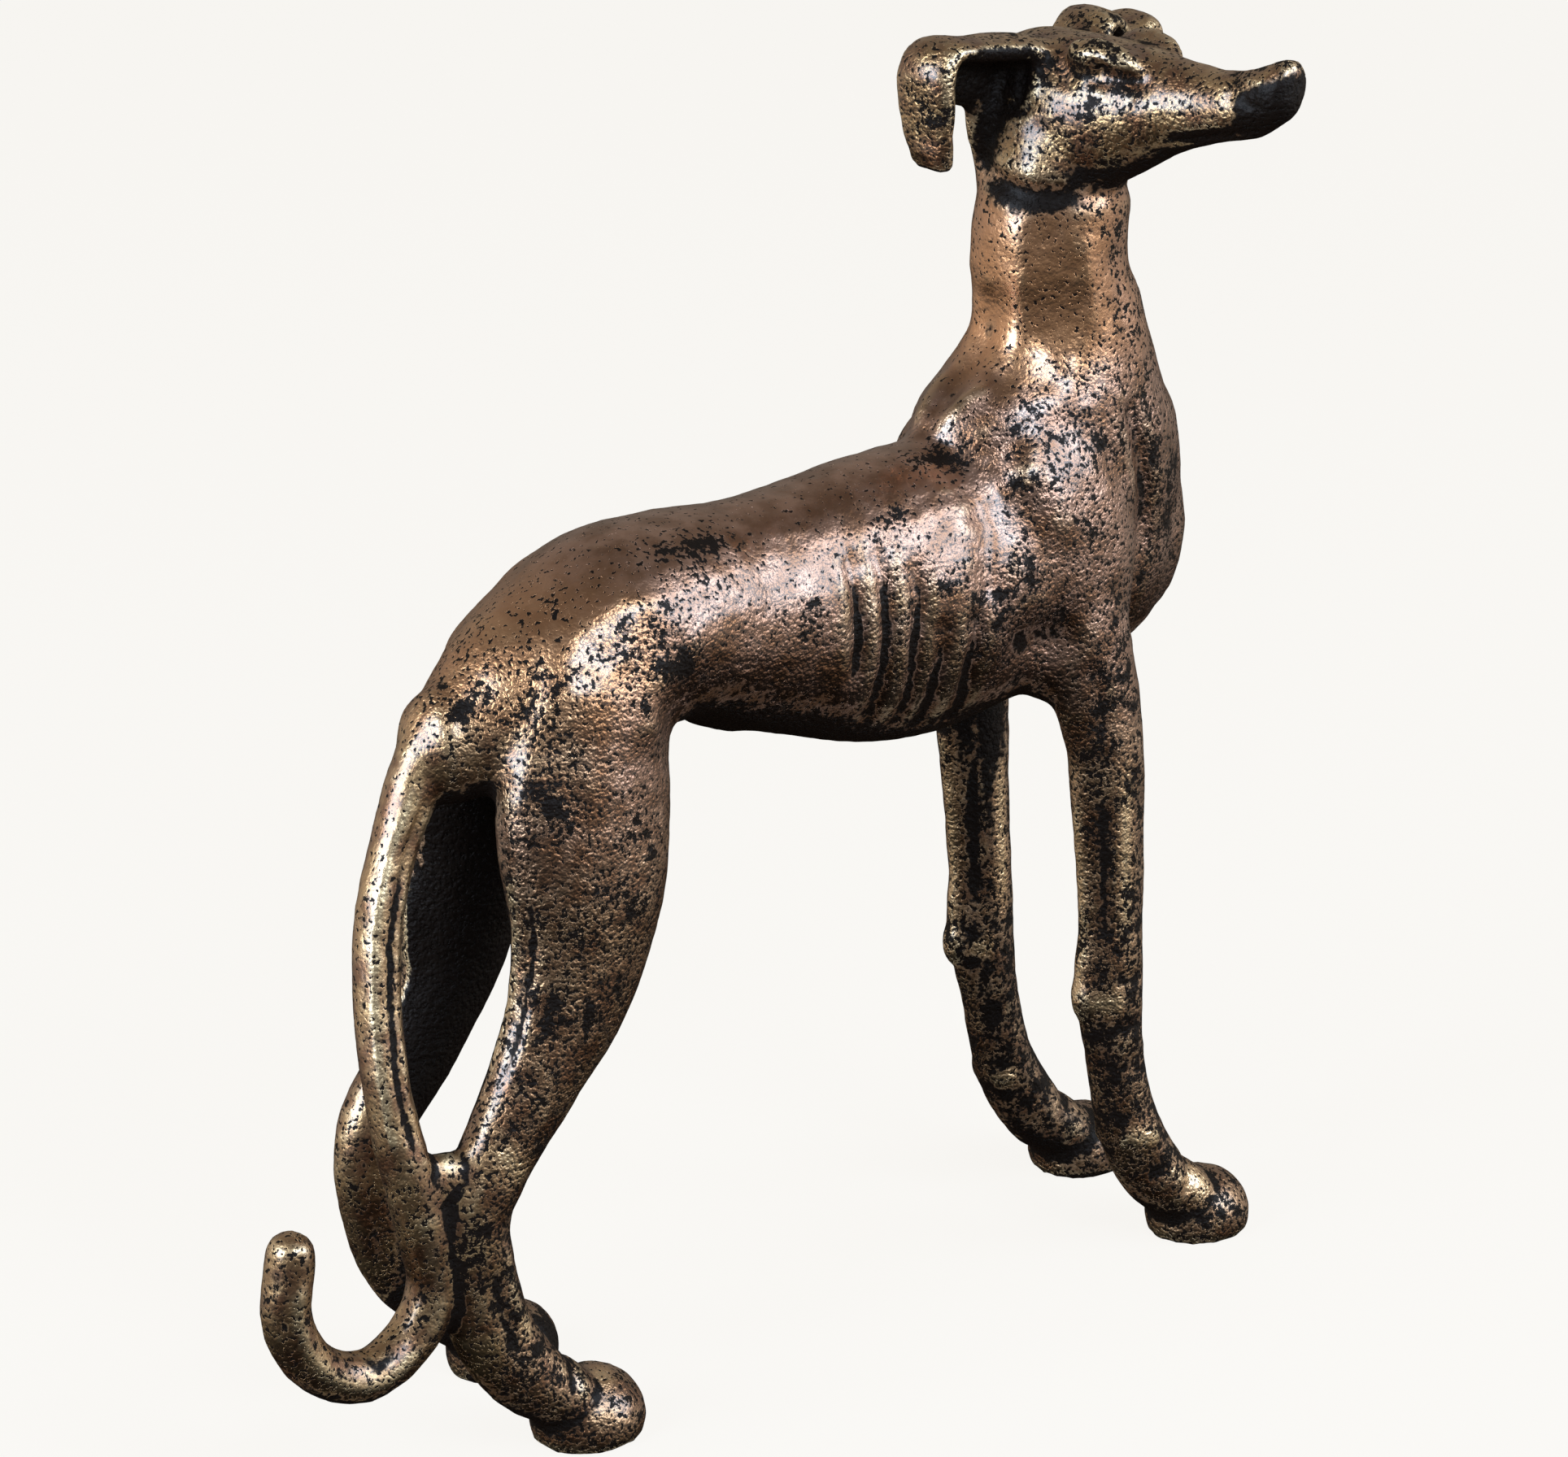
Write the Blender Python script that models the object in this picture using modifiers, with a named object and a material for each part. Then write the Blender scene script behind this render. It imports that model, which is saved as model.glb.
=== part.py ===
"""A standing greyhound, cast in one piece, its head turned to its right and its tail joined to a hind leg.

Metres, +Z up, +X the way the body faces, +Y the dog's left. The soles rest on z = 0, and the origin is
below the middle of the whole figure. Stations are in hundredths of the figure's height.
"""

import math

import bmesh
import bpy
import numpy as np
from mathutils import Matrix, Vector

HEIGHT = 0.465  # soles to the top of the ears
H = HEIGHT / 100  # one hundredth of the height, the unit of every station below
GRID = 0.34 * H  # the grain that the forms are fused at
TRIANGLES = 9400  # the faceted casting, before its soles are cut flat
HEAD_TURN = math.radians(-78)  # the head looks almost straight over the right shoulder
HEAD_ROLL = math.radians(2.6)  # and is tipped a little towards its left
HEAD_PIVOT = (26.0, 0.0, 95.0)
RIB_GAPS = (  # place along the body, top and bottom
    (0.4, 63.5, 55.0),
    (2.8, 63.5, 50.5),
    (5.5, 62.0, 49.5),
    (7.7, 57.5, 49.0),
    (10.7, 57.5, 49.0),
)
RIGHT, LEFT = -1, 1
EAR_HEIGHTS = {  # of the ear's middle at its root, its first third, its second third and its fold
    RIGHT: (2.2, 2.9, 3.1, 3.2),
    LEFT: (0.9, 3.9, 2.0, 2.7),
}
X, Y, Z = Vector((1, 0, 0)), Vector((0, 1, 0)), Vector((0, 0, 1))


def curve_through(rows, steps):
    """A smooth curve through rows of numbers, with `steps` points from each row to the next."""
    rows = [np.array(row, float) for row in rows]
    rows = [2 * rows[0] - rows[1], *rows, 2 * rows[-1] - rows[-2]]
    points = []
    for before, start, end, after in zip(rows, rows[1:], rows[2:], rows[3:]):
        for step in range(steps):
            t = step / steps
            points.append(
                start
                + 0.5 * t * (end - before)
                + 0.5 * t * t * (2 * before - 5 * start + 4 * end - after)
                + 0.5 * t**3 * (3 * start - before - 3 * end + after)
            )
    return [*points, rows[-2]]


def form(name, stations, across=Y, facing=None, frame=Matrix(), steps=6, sides=32, dome=0.8):
    """A closed tube through stations of (x, y, z, half width along `across`, half depth).

    Its sections face along the tube, or all of them towards `facing`. Both ends close in a dome,
    whose height is a share of the end's smaller half size.
    """
    rows = curve_through(stations, steps)
    middles = [Vector(row[:3]) for row in rows]
    tangents = [
        facing or (b - a).normalized()
        for a, b in zip([middles[0], *middles[:-1]], [*middles[1:], middles[-1]])
    ]
    sections = [(m, t, row[3], row[4]) for m, t, row in zip(middles, tangents, rows)]
    for end, way in ((0, -1), (-1, 1)):
        middle, tangent, wide, deep = sections[end]
        rise = dome * min(wide, deep)
        for turn in (25, 50, 72):
            share = math.cos(math.radians(turn))
            place = middle + tangent * way * rise * math.sin(math.radians(turn))
            section = (place, tangent, wide * share, deep * share)
            sections.insert(0 if end == 0 else len(sections), section)
    mesh = bmesh.new()
    rings = []
    for middle, tangent, wide, deep in sections:
        side = (across - tangent * across.dot(tangent)).normalized()
        up = tangent.cross(side)
        ring = []
        for k in range(sides):
            turn = 2 * math.pi * k / sides
            point = middle + side * wide * math.cos(turn) + up * deep * math.sin(turn)
            ring.append(mesh.verts.new(frame @ (point * H)))
        rings.append(ring)
    for a, b in zip(rings, rings[1:]):
        for k in range(sides):
            mesh.faces.new((a[k], a[k - 1], b[k - 1], b[k]))
    mesh.faces.new(rings[0])
    mesh.faces.new(rings[-1][::-1])
    bmesh.ops.recalc_face_normals(mesh, faces=mesh.faces)
    data = bpy.data.meshes.new(name)
    mesh.to_mesh(data)
    mesh.free()
    piece = bpy.data.objects.new(name, data)
    figure.objects.link(piece)
    return piece


def lump(name, centre, sizes, turn=(0, 0, 0), frame=Matrix()):
    """An ellipsoid of half sizes `sizes`, for a muscle, a pad or a knuckle."""
    bpy.ops.mesh.primitive_uv_sphere_add(segments=32, ring_count=20, radius=1)
    piece = bpy.context.object
    piece.name = name
    place = Matrix.Translation(Vector(centre) * H)
    spin = Matrix.Rotation(math.radians(turn[2]), 4, "Z") @ Matrix.Rotation(math.radians(turn[1]), 4, "Y")
    spin = spin @ Matrix.Rotation(math.radians(turn[0]), 4, "X")
    piece.data.transform(frame @ place @ spin @ Matrix.Diagonal((*[s * H for s in sizes], 1)))
    return piece


def trunk():
    """The barrel: a deep chest, a tucked-up waist and a sloping rump."""
    form(
        "trunk",
        [
            (-32.0, 0, 54.3, 3.8, 4.4),
            (-28.5, 0, 56.2, 5.6, 6.0),
            (-24.0, 0, 57.7, 7.5, 7.0),
            (-18.5, 0, 59.3, 8.5, 8.3),
            (-12.5, 0, 60.2, 8.0, 7.8),
            (-6.5, 0, 59.0, 7.5, 8.7),
            (-1.0, 0, 58.2, 7.7, 9.7),
            (5.0, 0, 57.7, 8.4, 11.0),
            (11.0, 0, 57.6, 9.0, 11.5),
            (17.0, 0, 58.4, 9.1, 11.5),
            (23.0, 0, 59.3, 8.3, 11.4),
            (28.5, 0, 59.4, 6.7, 10.8),
            (32.4, 0, 59.0, 5.4, 9.6),
            (34.6, 0, 58.8, 4.2, 7.9),
        ],
        facing=X,
    )


def neck():
    """A tall neck that widens into the chest and the shoulders."""
    form(
        "neck",
        [
            (25.6, 0, 57.0, 6.4, 11.0),
            (25.2, 0, 63.0, 7.2, 12.2),
            (24.5, 0, 68.0, 7.4, 12.2),
            (24.2, 0, 71.0, 7.1, 10.9),
            (25.3, 0, 73.6, 6.6, 8.9),
            (25.8, 0, 76.0, 6.2, 7.4),
            (25.6, 0, 78.6, 5.9, 6.8),
            (24.8, 0, 81.5, 5.8, 6.2),
            (25.0, 0, 85.5, 5.8, 6.2),
            (25.5, 0, 89.5, 5.7, 6.1),
            (25.9, 0, 92.5, 5.4, 5.7),
        ],
        facing=Z,
    )


def muscles():
    """The shoulders, and the web between the tail and the hock."""
    for side in (RIGHT, LEFT):
        lump("shoulder", (21.3, side * 5.5, 59.2), (7.6, 3.7, 11.7), turn=(0, -8, 0))
    lump("web", (-37.0, -6.3, 23.6), (2.6, 1.5, 2.6))


def head(frame):
    """The skull, the cheeks and the long muzzle, in the head's own frame: +X forward, +Y its left."""
    form(
        "skull",
        [
            (-5.0, 0, -0.4, 3.6, 3.2),
            (-2.5, 0, -1.4, 4.9, 5.2),
            (1.0, 0, -2.0, 5.3, 5.9),
            (4.5, 0, -1.9, 4.9, 5.7),
            (8.0, 0, -1.1, 4.0, 4.7),
            (10.8, 0, -0.5, 3.2, 3.6),
            (13.5, 0, -0.1, 2.7, 2.9),
            (16.0, 0, 0.3, 2.5, 2.65),
            (18.0, 0, 0.8, 2.35, 2.7),
            (19.6, 0, 1.6, 2.15, 2.6),
            (20.7, 0, 2.25, 1.85, 2.25),
        ],
        facing=X,
        frame=frame,
        dome=0.3,
    )
    for side in (RIGHT, LEFT):
        lump("brow", (6.1, side * 3.1, 2.7), (3.4, 1.7, 1.4), turn=(0, 12, side * -10), frame=frame)


def ear(side, frame):
    """An ear held straight out, folded over at its outer edge so that the flap hangs.

    Its back closes the hollow behind the flap, and its root runs down into the neck.
    """
    root, inner, outer, fold = EAR_HEIGHTS[side]
    form(
        "ear",
        [
            (-1.2, side * 2.0, root, 2.8, 1.3),
            (-1.8, side * 5.5, inner, 2.7, 1.05),
            (-2.3, side * 9.0, outer, 2.6, 0.95),
            (-2.8, side * 12.1, fold, 2.6, 1.05),
            (-2.9, side * 13.2, 1.4, 2.6, 1.2),
            (-2.8, side * 12.9, -2.0, 2.4, 1.1),
            (-2.6, side * 12.3, -5.4, 1.9, 0.95),
        ],
        across=X,
        frame=frame,
    )
    back = [(-3.4, 4.6, 0.6, 1.2, 3.0), (-3.9, 8.3, 1.1, 1.1, 2.6), (-3.8, 12.2, 1.7, 0.9, 1.4)]
    web = [(-3.5, 5.2, 1.5, 1.1, 2.0), (-3.6, 5.0, -1.5, 1.3, 2.0), (-3.5, 4.0, -5.0, 1.5, 2.0)]
    web += [(-3.2, 3.0, -8.5, 1.6, 2.0)]
    for name, rows in (("ear_back", back), ("ear_web", web)):
        form(name, [(x, side * y, z, *sizes) for x, y, z, *sizes in rows], across=X, frame=frame)


def foreleg(side, foot_x, lean):
    """A straight foreleg from the shoulder to the paw. `lean` tips its upper end backward."""
    stations = [
        (21.0, 5.0, 62.0, 3.0, 5.0),
        (22.0, 6.2, 56.0, 3.0, 5.0),
        (24.0, 6.9, 49.5, 2.7, 4.0),
        (25.0, 7.4, 44.0, 2.5, 3.4),
        (25.3, 7.5, 38.0, 2.3, 3.1),
        (25.7, 7.6, 30.0, 2.2, 2.8),
        (25.8, 7.7, 24.0, 2.25, 2.95),
        (26.4, 7.7, 18.5, 2.1, 2.5),
        (27.2, 7.7, 14.0, 2.15, 2.55),
        (28.1, 7.8, 11.0, 2.25, 2.7),
        (29.6, 7.8, 8.0, 2.4, 2.8),
        (31.5, 7.8, 5.5, 2.8, 2.7),
        (34.0, 7.8, 3.6, 3.2, 2.5),
    ]
    rows = [(x + lean * (18 - z) / 20, side * y, z, wide, deep) for x, y, z, wide, deep in stations]
    form("foreleg", rows)
    lump("knee", (23.7 - 0.5 * lean, side * 7.7, 23.2), (1.3, 1.5, 2.0))
    lump("paw", (foot_x, side * 7.8, 1.4), (4.5, 4.1, 3.8))


def hind_leg(side, foot_x, stations):
    """A hind leg: a broad thigh, a thin hock and a short paw."""
    form("hind_leg", [(x, side * y, z, wide, deep) for x, y, z, wide, deep in stations])
    lump("paw", (foot_x, side * 6.6, 1.4), (4.6, 4.2, 3.9))


def right_hind_leg():
    hind_leg(
        RIGHT,
        -24.7,
        [
            (-21.5, 4.4, 57.5, 4.2, 6.6),
            (-23.4, 5.4, 50.0, 4.1, 7.3),
            (-23.7, 6.0, 44.0, 3.9, 6.8),
            (-24.3, 6.2, 39.5, 3.5, 6.0),
            (-25.8, 6.4, 35.0, 3.1, 5.1),
            (-28.2, 6.5, 31.0, 2.8, 4.1),
            (-30.7, 6.5, 27.2, 2.6, 3.5),
            (-33.0, 6.6, 23.8, 2.4, 3.1),
            (-34.8, 6.6, 20.5, 2.3, 3.2),
            (-34.4, 6.6, 15.5, 2.3, 3.2),
            (-33.2, 6.6, 11.0, 2.4, 3.2),
            (-30.6, 6.6, 6.8, 2.6, 3.0),
            (-27.0, 6.6, 3.8, 3.0, 2.7),
        ],
    )


def left_hind_leg():
    hind_leg(
        LEFT,
        -23.2,
        [
            (-21.5, 4.4, 57.5, 4.2, 6.6),
            (-24.0, 5.4, 50.0, 4.1, 7.0),
            (-25.0, 6.0, 44.0, 3.7, 6.0),
            (-26.1, 6.2, 39.5, 3.3, 5.0),
            (-27.0, 6.4, 35.0, 2.9, 4.3),
            (-29.0, 6.5, 31.0, 2.7, 3.8),
            (-31.3, 6.5, 27.2, 2.5, 3.4),
            (-33.7, 6.6, 24.0, 2.4, 3.2),
            (-34.7, 6.6, 20.5, 2.3, 3.1),
            (-34.1, 6.7, 15.5, 2.2, 2.9),
            (-32.5, 6.7, 11.2, 2.2, 2.9),
            (-29.2, 6.7, 7.2, 2.4, 2.7),
            (-25.6, 6.7, 4.2, 3.0, 2.7),
        ],
    )


def tail():
    """The tail hangs clear of the thigh, runs down the right hock and curls back in a hook."""
    form(
        "tail",
        [
            (-31.0, 0.0, 56.6, 2.6, 2.8),
            (-34.0, -0.3, 53.4, 2.1, 2.2),
            (-36.9, -0.9, 48.0, 1.8, 1.85),
            (-39.0, -1.9, 43.2, 1.8, 1.8),
            (-40.2, -3.3, 37.1, 1.8, 1.8),
            (-40.6, -4.8, 31.6, 1.8, 1.8),
            (-40.0, -5.8, 26.0, 1.9, 1.9),
            (-38.8, -6.2, 20.5, 1.9, 2.0),
            (-38.0, -6.2, 16.0, 1.9, 2.0),
            (-39.9, -6.2, 12.4, 1.9, 2.0),
            (-43.9, -6.2, 10.4, 1.9, 1.95),
            (-48.2, -6.2, 12.3, 1.9, 1.9),
            (-50.5, -6.2, 16.7, 1.9, 1.9),
            (-50.0, -6.2, 22.1, 1.85, 1.85),
        ],
    )


def fused(pieces):
    """The overlapping forms made one closed skin, the broad masses smoothed into one another."""
    bpy.ops.object.select_all(action="DESELECT")
    for piece in pieces:
        piece.select_set(True)
    bpy.context.view_layer.objects.active = pieces[0]
    bpy.ops.object.join()
    body = bpy.context.object
    skin = body.modifiers.new("skin", "REMESH")
    skin.mode = "VOXEL"
    skin.voxel_size = GRID
    bpy.ops.object.modifier_apply(modifier=skin.name)
    broad = body.vertex_groups.new(name="broad")
    for vertex in body.data.vertices:
        x, _, z = vertex.co / H
        share = min((z - 47) / 4, (78 - z) / 6, (x + 33) / 4, 1)
        if share > 0:
            broad.add([vertex.index], share, "REPLACE")
    for group, rounds in (("", 4), ("broad", 30)):
        soften = body.modifiers.new("soften", "SMOOTH")
        soften.factor = 0.5
        soften.iterations = rounds
        soften.vertex_group = group
        bpy.ops.object.modifier_apply(modifier=soften.name)
    body.vertex_groups.clear()
    return body


def carve(path, width, depth, frame=Matrix()):
    """A soft groove in both flanks, along a path of (x, z) in the side view of the body or the head."""
    mesh = body.data
    places, normals = (np.empty(3 * len(mesh.vertices)) for _ in range(2))
    mesh.vertices.foreach_get("co", places)
    mesh.vertices.foreach_get("normal", normals)
    places, normals = places.reshape(-1, 3), normals.reshape(-1, 3)
    into = np.array(frame.inverted())
    seen = ((places @ into[:3, :3].T + into[:3, 3]) / H)[:, [0, 2]]
    line = curve_through(path, 4)
    nearest = np.full(len(seen), np.inf)
    for start, end in zip(line, line[1:]):
        way = end - start
        along = np.clip((seen - start) @ way / (way @ way), 0, 1)
        nearest = np.minimum(nearest, np.linalg.norm(seen - start - along[:, None] * way, axis=1))
    places -= normals * (depth * H * np.exp(-((nearest / width) ** 2)))[:, None]
    mesh.vertices.foreach_set("co", places.ravel())
    mesh.update()


def carve_details(head_frame):
    """The gaps between the ribs, and the creases of the shoulders, the neck and the face."""
    for x, top, bottom in RIB_GAPS:
        carve([(x, top), (x - 0.1, (top + bottom) / 2), (x, bottom)], 0.8, 0.42)
    behind_shoulder = [(12.8, 67.5), (13.1, 64.0), (12.3, 60.0)]
    armpit = [(15.8, 54.4), (19.0, 54.0)]
    before_shoulder = [(27.6, 70.0), (28.9, 65.2), (29.2, 61.8), (28.9, 57.8), (28.3, 53.5)]
    neck_valley = [(21.2, 86.0), (21.3, 80.0), (20.8, 74.0)]
    carve(behind_shoulder, 1.6, 0.45)
    carve(armpit, 2.0, 0.6)
    carve(before_shoulder, 0.9, 0.5)
    carve(neck_valley, 1.3, 0.3)
    eye = [(6.3, 1.9), (8.9, 1.4)]
    mouth = [(19.4, -0.5), (17.0, -1.3), (14.0, -1.9), (11.0, -2.6)]
    jaw = [(-3.4, -5.6), (-1.0, -7.0), (2.0, -7.7), (5.0, -7.6)]
    carve(eye, 0.9, 0.75, frame=head_frame)
    carve(mouth, 0.5, 0.3, frame=head_frame)
    carve(jaw, 0.8, 0.45, frame=head_frame)


for old in list(bpy.data.objects):
    bpy.data.objects.remove(old, do_unlink=True)
figure = bpy.data.collections.new("greyhound_sculpture")
bpy.context.scene.collection.children.link(figure)
cutters = bpy.data.collections.new("cutters")
bpy.context.scene.collection.children.link(cutters)
layers = bpy.context.view_layer.layer_collection.children
bpy.context.view_layer.active_layer_collection = layers[figure.name]

trunk()
neck()
muscles()
head_frame = Matrix.Translation(Vector(HEAD_PIVOT) * H) @ Matrix.Rotation(HEAD_TURN, 4, "Z")
head_frame = head_frame @ Matrix.Rotation(-HEAD_ROLL, 4, "X")
head(head_frame)
for side in (RIGHT, LEFT):
    ear(side, head_frame)
foreleg(RIGHT, 35.8, 0.0)
foreleg(LEFT, 36.7, 0.9)
right_hind_leg()
left_hind_leg()
tail()
body = fused(list(figure.objects))
body.name = "greyhound"
body.data.name = "greyhound"
carve_details(head_frame)
thin = body.modifiers.new("facets", "DECIMATE")
thin.ratio = TRIANGLES / (2 * len(body.data.polygons))
bpy.ops.object.modifier_apply(modifier=thin.name)
low, high = (Vector(f(axis) for axis in zip(*body.bound_box)) for f in (min, max))
body.location = (-(low.x + high.x) / 2, -(low.y + high.y) / 2, 0)

bpy.ops.mesh.primitive_cube_add(size=1)
ground = bpy.context.object
ground.name = "ground"
ground.scale = (2 * HEIGHT, HEIGHT, 0.1 * HEIGHT)
ground.location.z = -0.05 * HEIGHT
ground.hide_render = True
ground.display_type = "WIRE"
for owner in list(ground.users_collection):
    owner.objects.unlink(ground)
cutters.objects.link(ground)
flat = body.modifiers.new("flat soles", "BOOLEAN")
flat.object = ground
flat.operation = "DIFFERENCE"

bronze = bpy.data.materials.new("antiqued_bronze")
bronze.use_nodes = True
shader = bronze.node_tree.nodes["Principled BSDF"]
shader.inputs["Base Color"].default_value = (0.16, 0.09, 0.05, 1)
shader.inputs["Metallic"].default_value = 1.0
shader.inputs["Roughness"].default_value = 0.38
body.data.materials.clear()
body.data.materials.append(bronze)
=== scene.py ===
"""A greyhound cast in bronze, standing on its paws, its head turned to look over its right shoulder."""

import math

import bpy
import numpy as np
from mathutils import Matrix, Vector
from mathutils.bvhtree import BVHTree
from mathutils.geometry import interpolate_bezier


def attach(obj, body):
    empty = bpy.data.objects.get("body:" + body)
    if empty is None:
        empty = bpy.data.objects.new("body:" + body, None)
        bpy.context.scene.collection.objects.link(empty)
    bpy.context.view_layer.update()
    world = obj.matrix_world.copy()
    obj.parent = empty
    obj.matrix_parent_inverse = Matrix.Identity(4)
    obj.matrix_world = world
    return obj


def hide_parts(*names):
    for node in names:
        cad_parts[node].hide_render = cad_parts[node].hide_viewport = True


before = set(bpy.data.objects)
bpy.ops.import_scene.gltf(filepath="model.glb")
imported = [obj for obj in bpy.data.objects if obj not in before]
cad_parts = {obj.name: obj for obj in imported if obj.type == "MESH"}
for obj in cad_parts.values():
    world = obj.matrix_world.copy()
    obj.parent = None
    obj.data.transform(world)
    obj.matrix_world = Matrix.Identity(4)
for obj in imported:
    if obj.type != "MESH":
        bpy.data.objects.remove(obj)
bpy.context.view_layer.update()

# The casting. The real figure is one hollow piece of bronze, poured in a sand mould from a pattern that was
# modelled by hand, so each form runs softly into the next. Its skin is the solid made finer and smooth.
FACET = 0.00187  # metres: fine enough for the face, and the skin stays under 200,000 triangles
SMOOTHING = (0.6, -0.63) * 16 + (0.5, 0.5)  # a round in, a round out, so that thin parts don't shrink

bpy.ops.object.select_all(action="DESELECT")
hound = bpy.data.objects.new("greyhound_casting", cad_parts["greyhound"].data.copy())
bpy.context.scene.collection.objects.link(hound)
bpy.context.view_layer.objects.active = hound
hound.select_set(True)
bpy.ops.object.mode_set(mode="EDIT")
bpy.ops.mesh.select_all(action="SELECT")
bpy.ops.mesh.remove_doubles(threshold=0.00001)
bpy.ops.object.mode_set(mode="OBJECT")
fine = hound.modifiers.new("fine skin", "REMESH")
fine.mode = "VOXEL"
fine.voxel_size = FACET
bpy.ops.object.modifier_apply(modifier=fine.name)
for factor in SMOOTHING:
    smooth = hound.modifiers.new("smooth", "SMOOTH")
    smooth.factor = factor
    smooth.iterations = 1
    bpy.ops.object.modifier_apply(modifier=smooth.name)

# The trunk. The gaps between the ribs, the edges of the shoulder blade, the long cords of the neck and the
# hollow of the armpit were all worked into the pattern with a rounded tool.
HUNDREDTH = 0.00465  # a hundredth of the figure's height, the unit of every path
MIDDLE = Vector((0.0262, 0.02085, 0))  # where the line down from the withers' middle stands


def read_skin():
    """The skin's points and normals, and its surface for laying paths on."""
    count = len(hound.data.vertices)
    points, outward = np.empty(3 * count), np.empty(3 * count)
    hound.data.vertices.foreach_get("co", points)
    hound.data.vertices.foreach_get("normal", outward)
    tree = BVHTree.FromObject(hound, bpy.context.evaluated_depsgraph_get())
    return points.reshape(-1, 3), outward.reshape(-1, 3), tree


def write_skin():
    """Puts the moved points back in the mesh."""
    hound.data.vertices.foreach_set("co", places.ravel())
    hound.data.update()


def on_body(points):
    """Points of the body, forward, to its left and up, from hundredths of the height."""
    return [Vector(p) * HUNDREDTH + MIDDLE for p in points]


def both_sides(points):
    """The same path on the right and on the left."""
    return [points, [(x, -y, z) for x, y, z in points]]


def along(points, width, taper=0.3):
    """Which skin points lie by a path laid on the skin, and their shares.

    A share is 1 on the path and falls off softly, by `width` millimetres, and over the `taper` part of the
    path at each end.
    """
    ends = [2 * points[0] - points[1], *points, 2 * points[-1] - points[-2]]
    path = []
    for before, start, end, after in zip(ends, ends[1:], ends[2:], ends[3:]):
        pulls = (start + (end - before) / 6, end - (after - start) / 6)
        path += interpolate_bezier(start, *pulls, end, 6)[:-1]
    path = np.array([surface.find_nearest(p)[0] for p in [*path, points[-1]]])
    reach = 0.003 * width
    near = np.flatnonzero(((places > path.min(0) - reach) & (places < path.max(0) + reach)).all(1))
    nearest, done = np.full(len(near), np.inf), np.zeros(len(near))
    for k, (start, end) in enumerate(zip(path, path[1:])):
        way = end - start
        share = np.clip((places[near] - start) @ way / max(way @ way, 1e-12), 0, 1)
        gap = np.linalg.norm(places[near] - start - share[:, None] * way, axis=1)
        done = np.where(gap < nearest, (k + share) / (len(path) - 1), done)
        nearest = np.minimum(nearest, gap)
    fade = np.clip(np.minimum(done, 1 - done) / taper, 0, 1)
    return near, np.exp(-((nearest / (0.001 * width)) ** 2)) * fade * fade * (3 - 2 * fade)


def carve(points, width, depth, taper=0.3):
    """Presses a soft groove in the skin along a path, or raises a ridge if the depth in mm is negative."""
    near, shares = along(points, width, taper)
    places[near] -= normals[near] * (0.001 * depth * shares)[:, None]


RIB_GAPS = (
    [(0.6, -6.2, 63.6), (0.3, -7.6, 60.0), (0.3, -7.7, 57.0), (0.0, -7.0, 53.0)],
    [(3.1, -6.9, 63.8), (2.9, -7.6, 61.0), (2.8, -8.0, 58.0), (2.6, -7.6, 54.5), (2.2, -5.6, 50.0)],
    [(5.5, -7.6, 62.6), (5.8, -8.2, 60.0), (5.3, -8.3, 56.7), (5.4, -7.8, 53.6), (5.6, -5.8, 49.4)],
    [(8.1, -8.6, 59.0), (7.7, -8.3, 54.2), (7.5, -7.7, 52.6), (7.8, -5.7, 48.9)],
    [(10.8, -8.9, 59.0), (10.6, -8.8, 55.0), (10.5, -8.2, 52.8), (11.0, -5.8, 48.7)],
)
TRUNK_CREASES = (  # path on the right side, width and depth in mm
    # The shoulder: its front, the hollow behind it, the elbow, the blade's spine and the blade's top.
    ([(27.6, -6.9, 71.5), (29.2, -6.8, 64.9), (29.8, -6.5, 61.4), (30.0, -5.9, 54.0)], 4.5, 1.3),
    ([(12.7, -6.0, 67.6), (13.5, -7.8, 63.8), (12.2, -8.6, 61.1), (13.1, -9.1, 55.6)], 9.0, 1.1),
    ([(15.3, -8.6, 54.9), (18.0, -9.4, 53.8), (20.9, -9.6, 53.4)], 9.0, 0.7),
    ([(21.2, -9.9, 52.6), (22.5, -9.9, 48.5), (22.9, -9.7, 45.0)], 4.0, 1.0),
    ([(15.5, -6.2, 68.6), (18.3, -7.6, 65.5), (19.0, -8.4, 61.0)], 8.0, -1.6),
    ([(11.4, -1.0, 69.1), (14.4, -1.6, 71.4), (15.6, -2.0, 72.5), (17.2, -3.1, 73.6)], 4.0, -1.6),
    # The haunch: the thigh's front edge, the flank's fold, the hip's crest, and the hollows by it.
    ([(-17.0, -7.0, 61.5), (-19.5, -8.0, 58.0), (-20.5, -9.0, 53.0)], 8.0, -1.6),
    ([(-14.0, -7.4, 60.5), (-16.5, -8.0, 54.5), (-16.5, -8.2, 50.0)], 8.0, 1.4),
    (
        [
            (-27.0, -6.8, 57.5),
            (-25.4, -5.9, 61.1),
            (-23.0, -5.6, 63.0),
            (-19.5, -6.4, 64.0),
            (-14.7, -7.1, 64.1),
        ],
        6.5,
        -1.3,
    ),
    ([(-21.1, -7.6, 60.8), (-18.7, -8.3, 60.2), (-15.7, -8.2, 58.8)], 8.0, 1.2),
    ([(-26.0, -7.8, 58.5), (-27.5, -8.8, 53.0), (-26.5, -9.4, 48.0)], 8.0, 1.2),
)
NECK_CORDS = (
    ([(19.4, -2.7, 88.0), (19.4, -2.7, 82.0), (19.0, -2.9, 76.0), (18.0, -3.2, 73.0)], 5.0, -0.6),
    ([(20.8, -4.4, 87.5), (21.2, -4.6, 82.5), (21.2, -4.9, 77.5), (20.0, -5.4, 73.0)], 5.0, 0.5),
    ([(22.3, -5.2, 86.6), (23.2, -5.5, 83.2), (24.0, -5.7, 80.6), (24.1, -6.1, 75.4)], 5.0, -0.6),
    ([(26.0, -5.6, 86.0), (26.8, -5.7, 81.0), (27.6, -6.0, 76.0), (28.2, -6.6, 70.0)], 5.0, 0.6),
)
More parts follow.
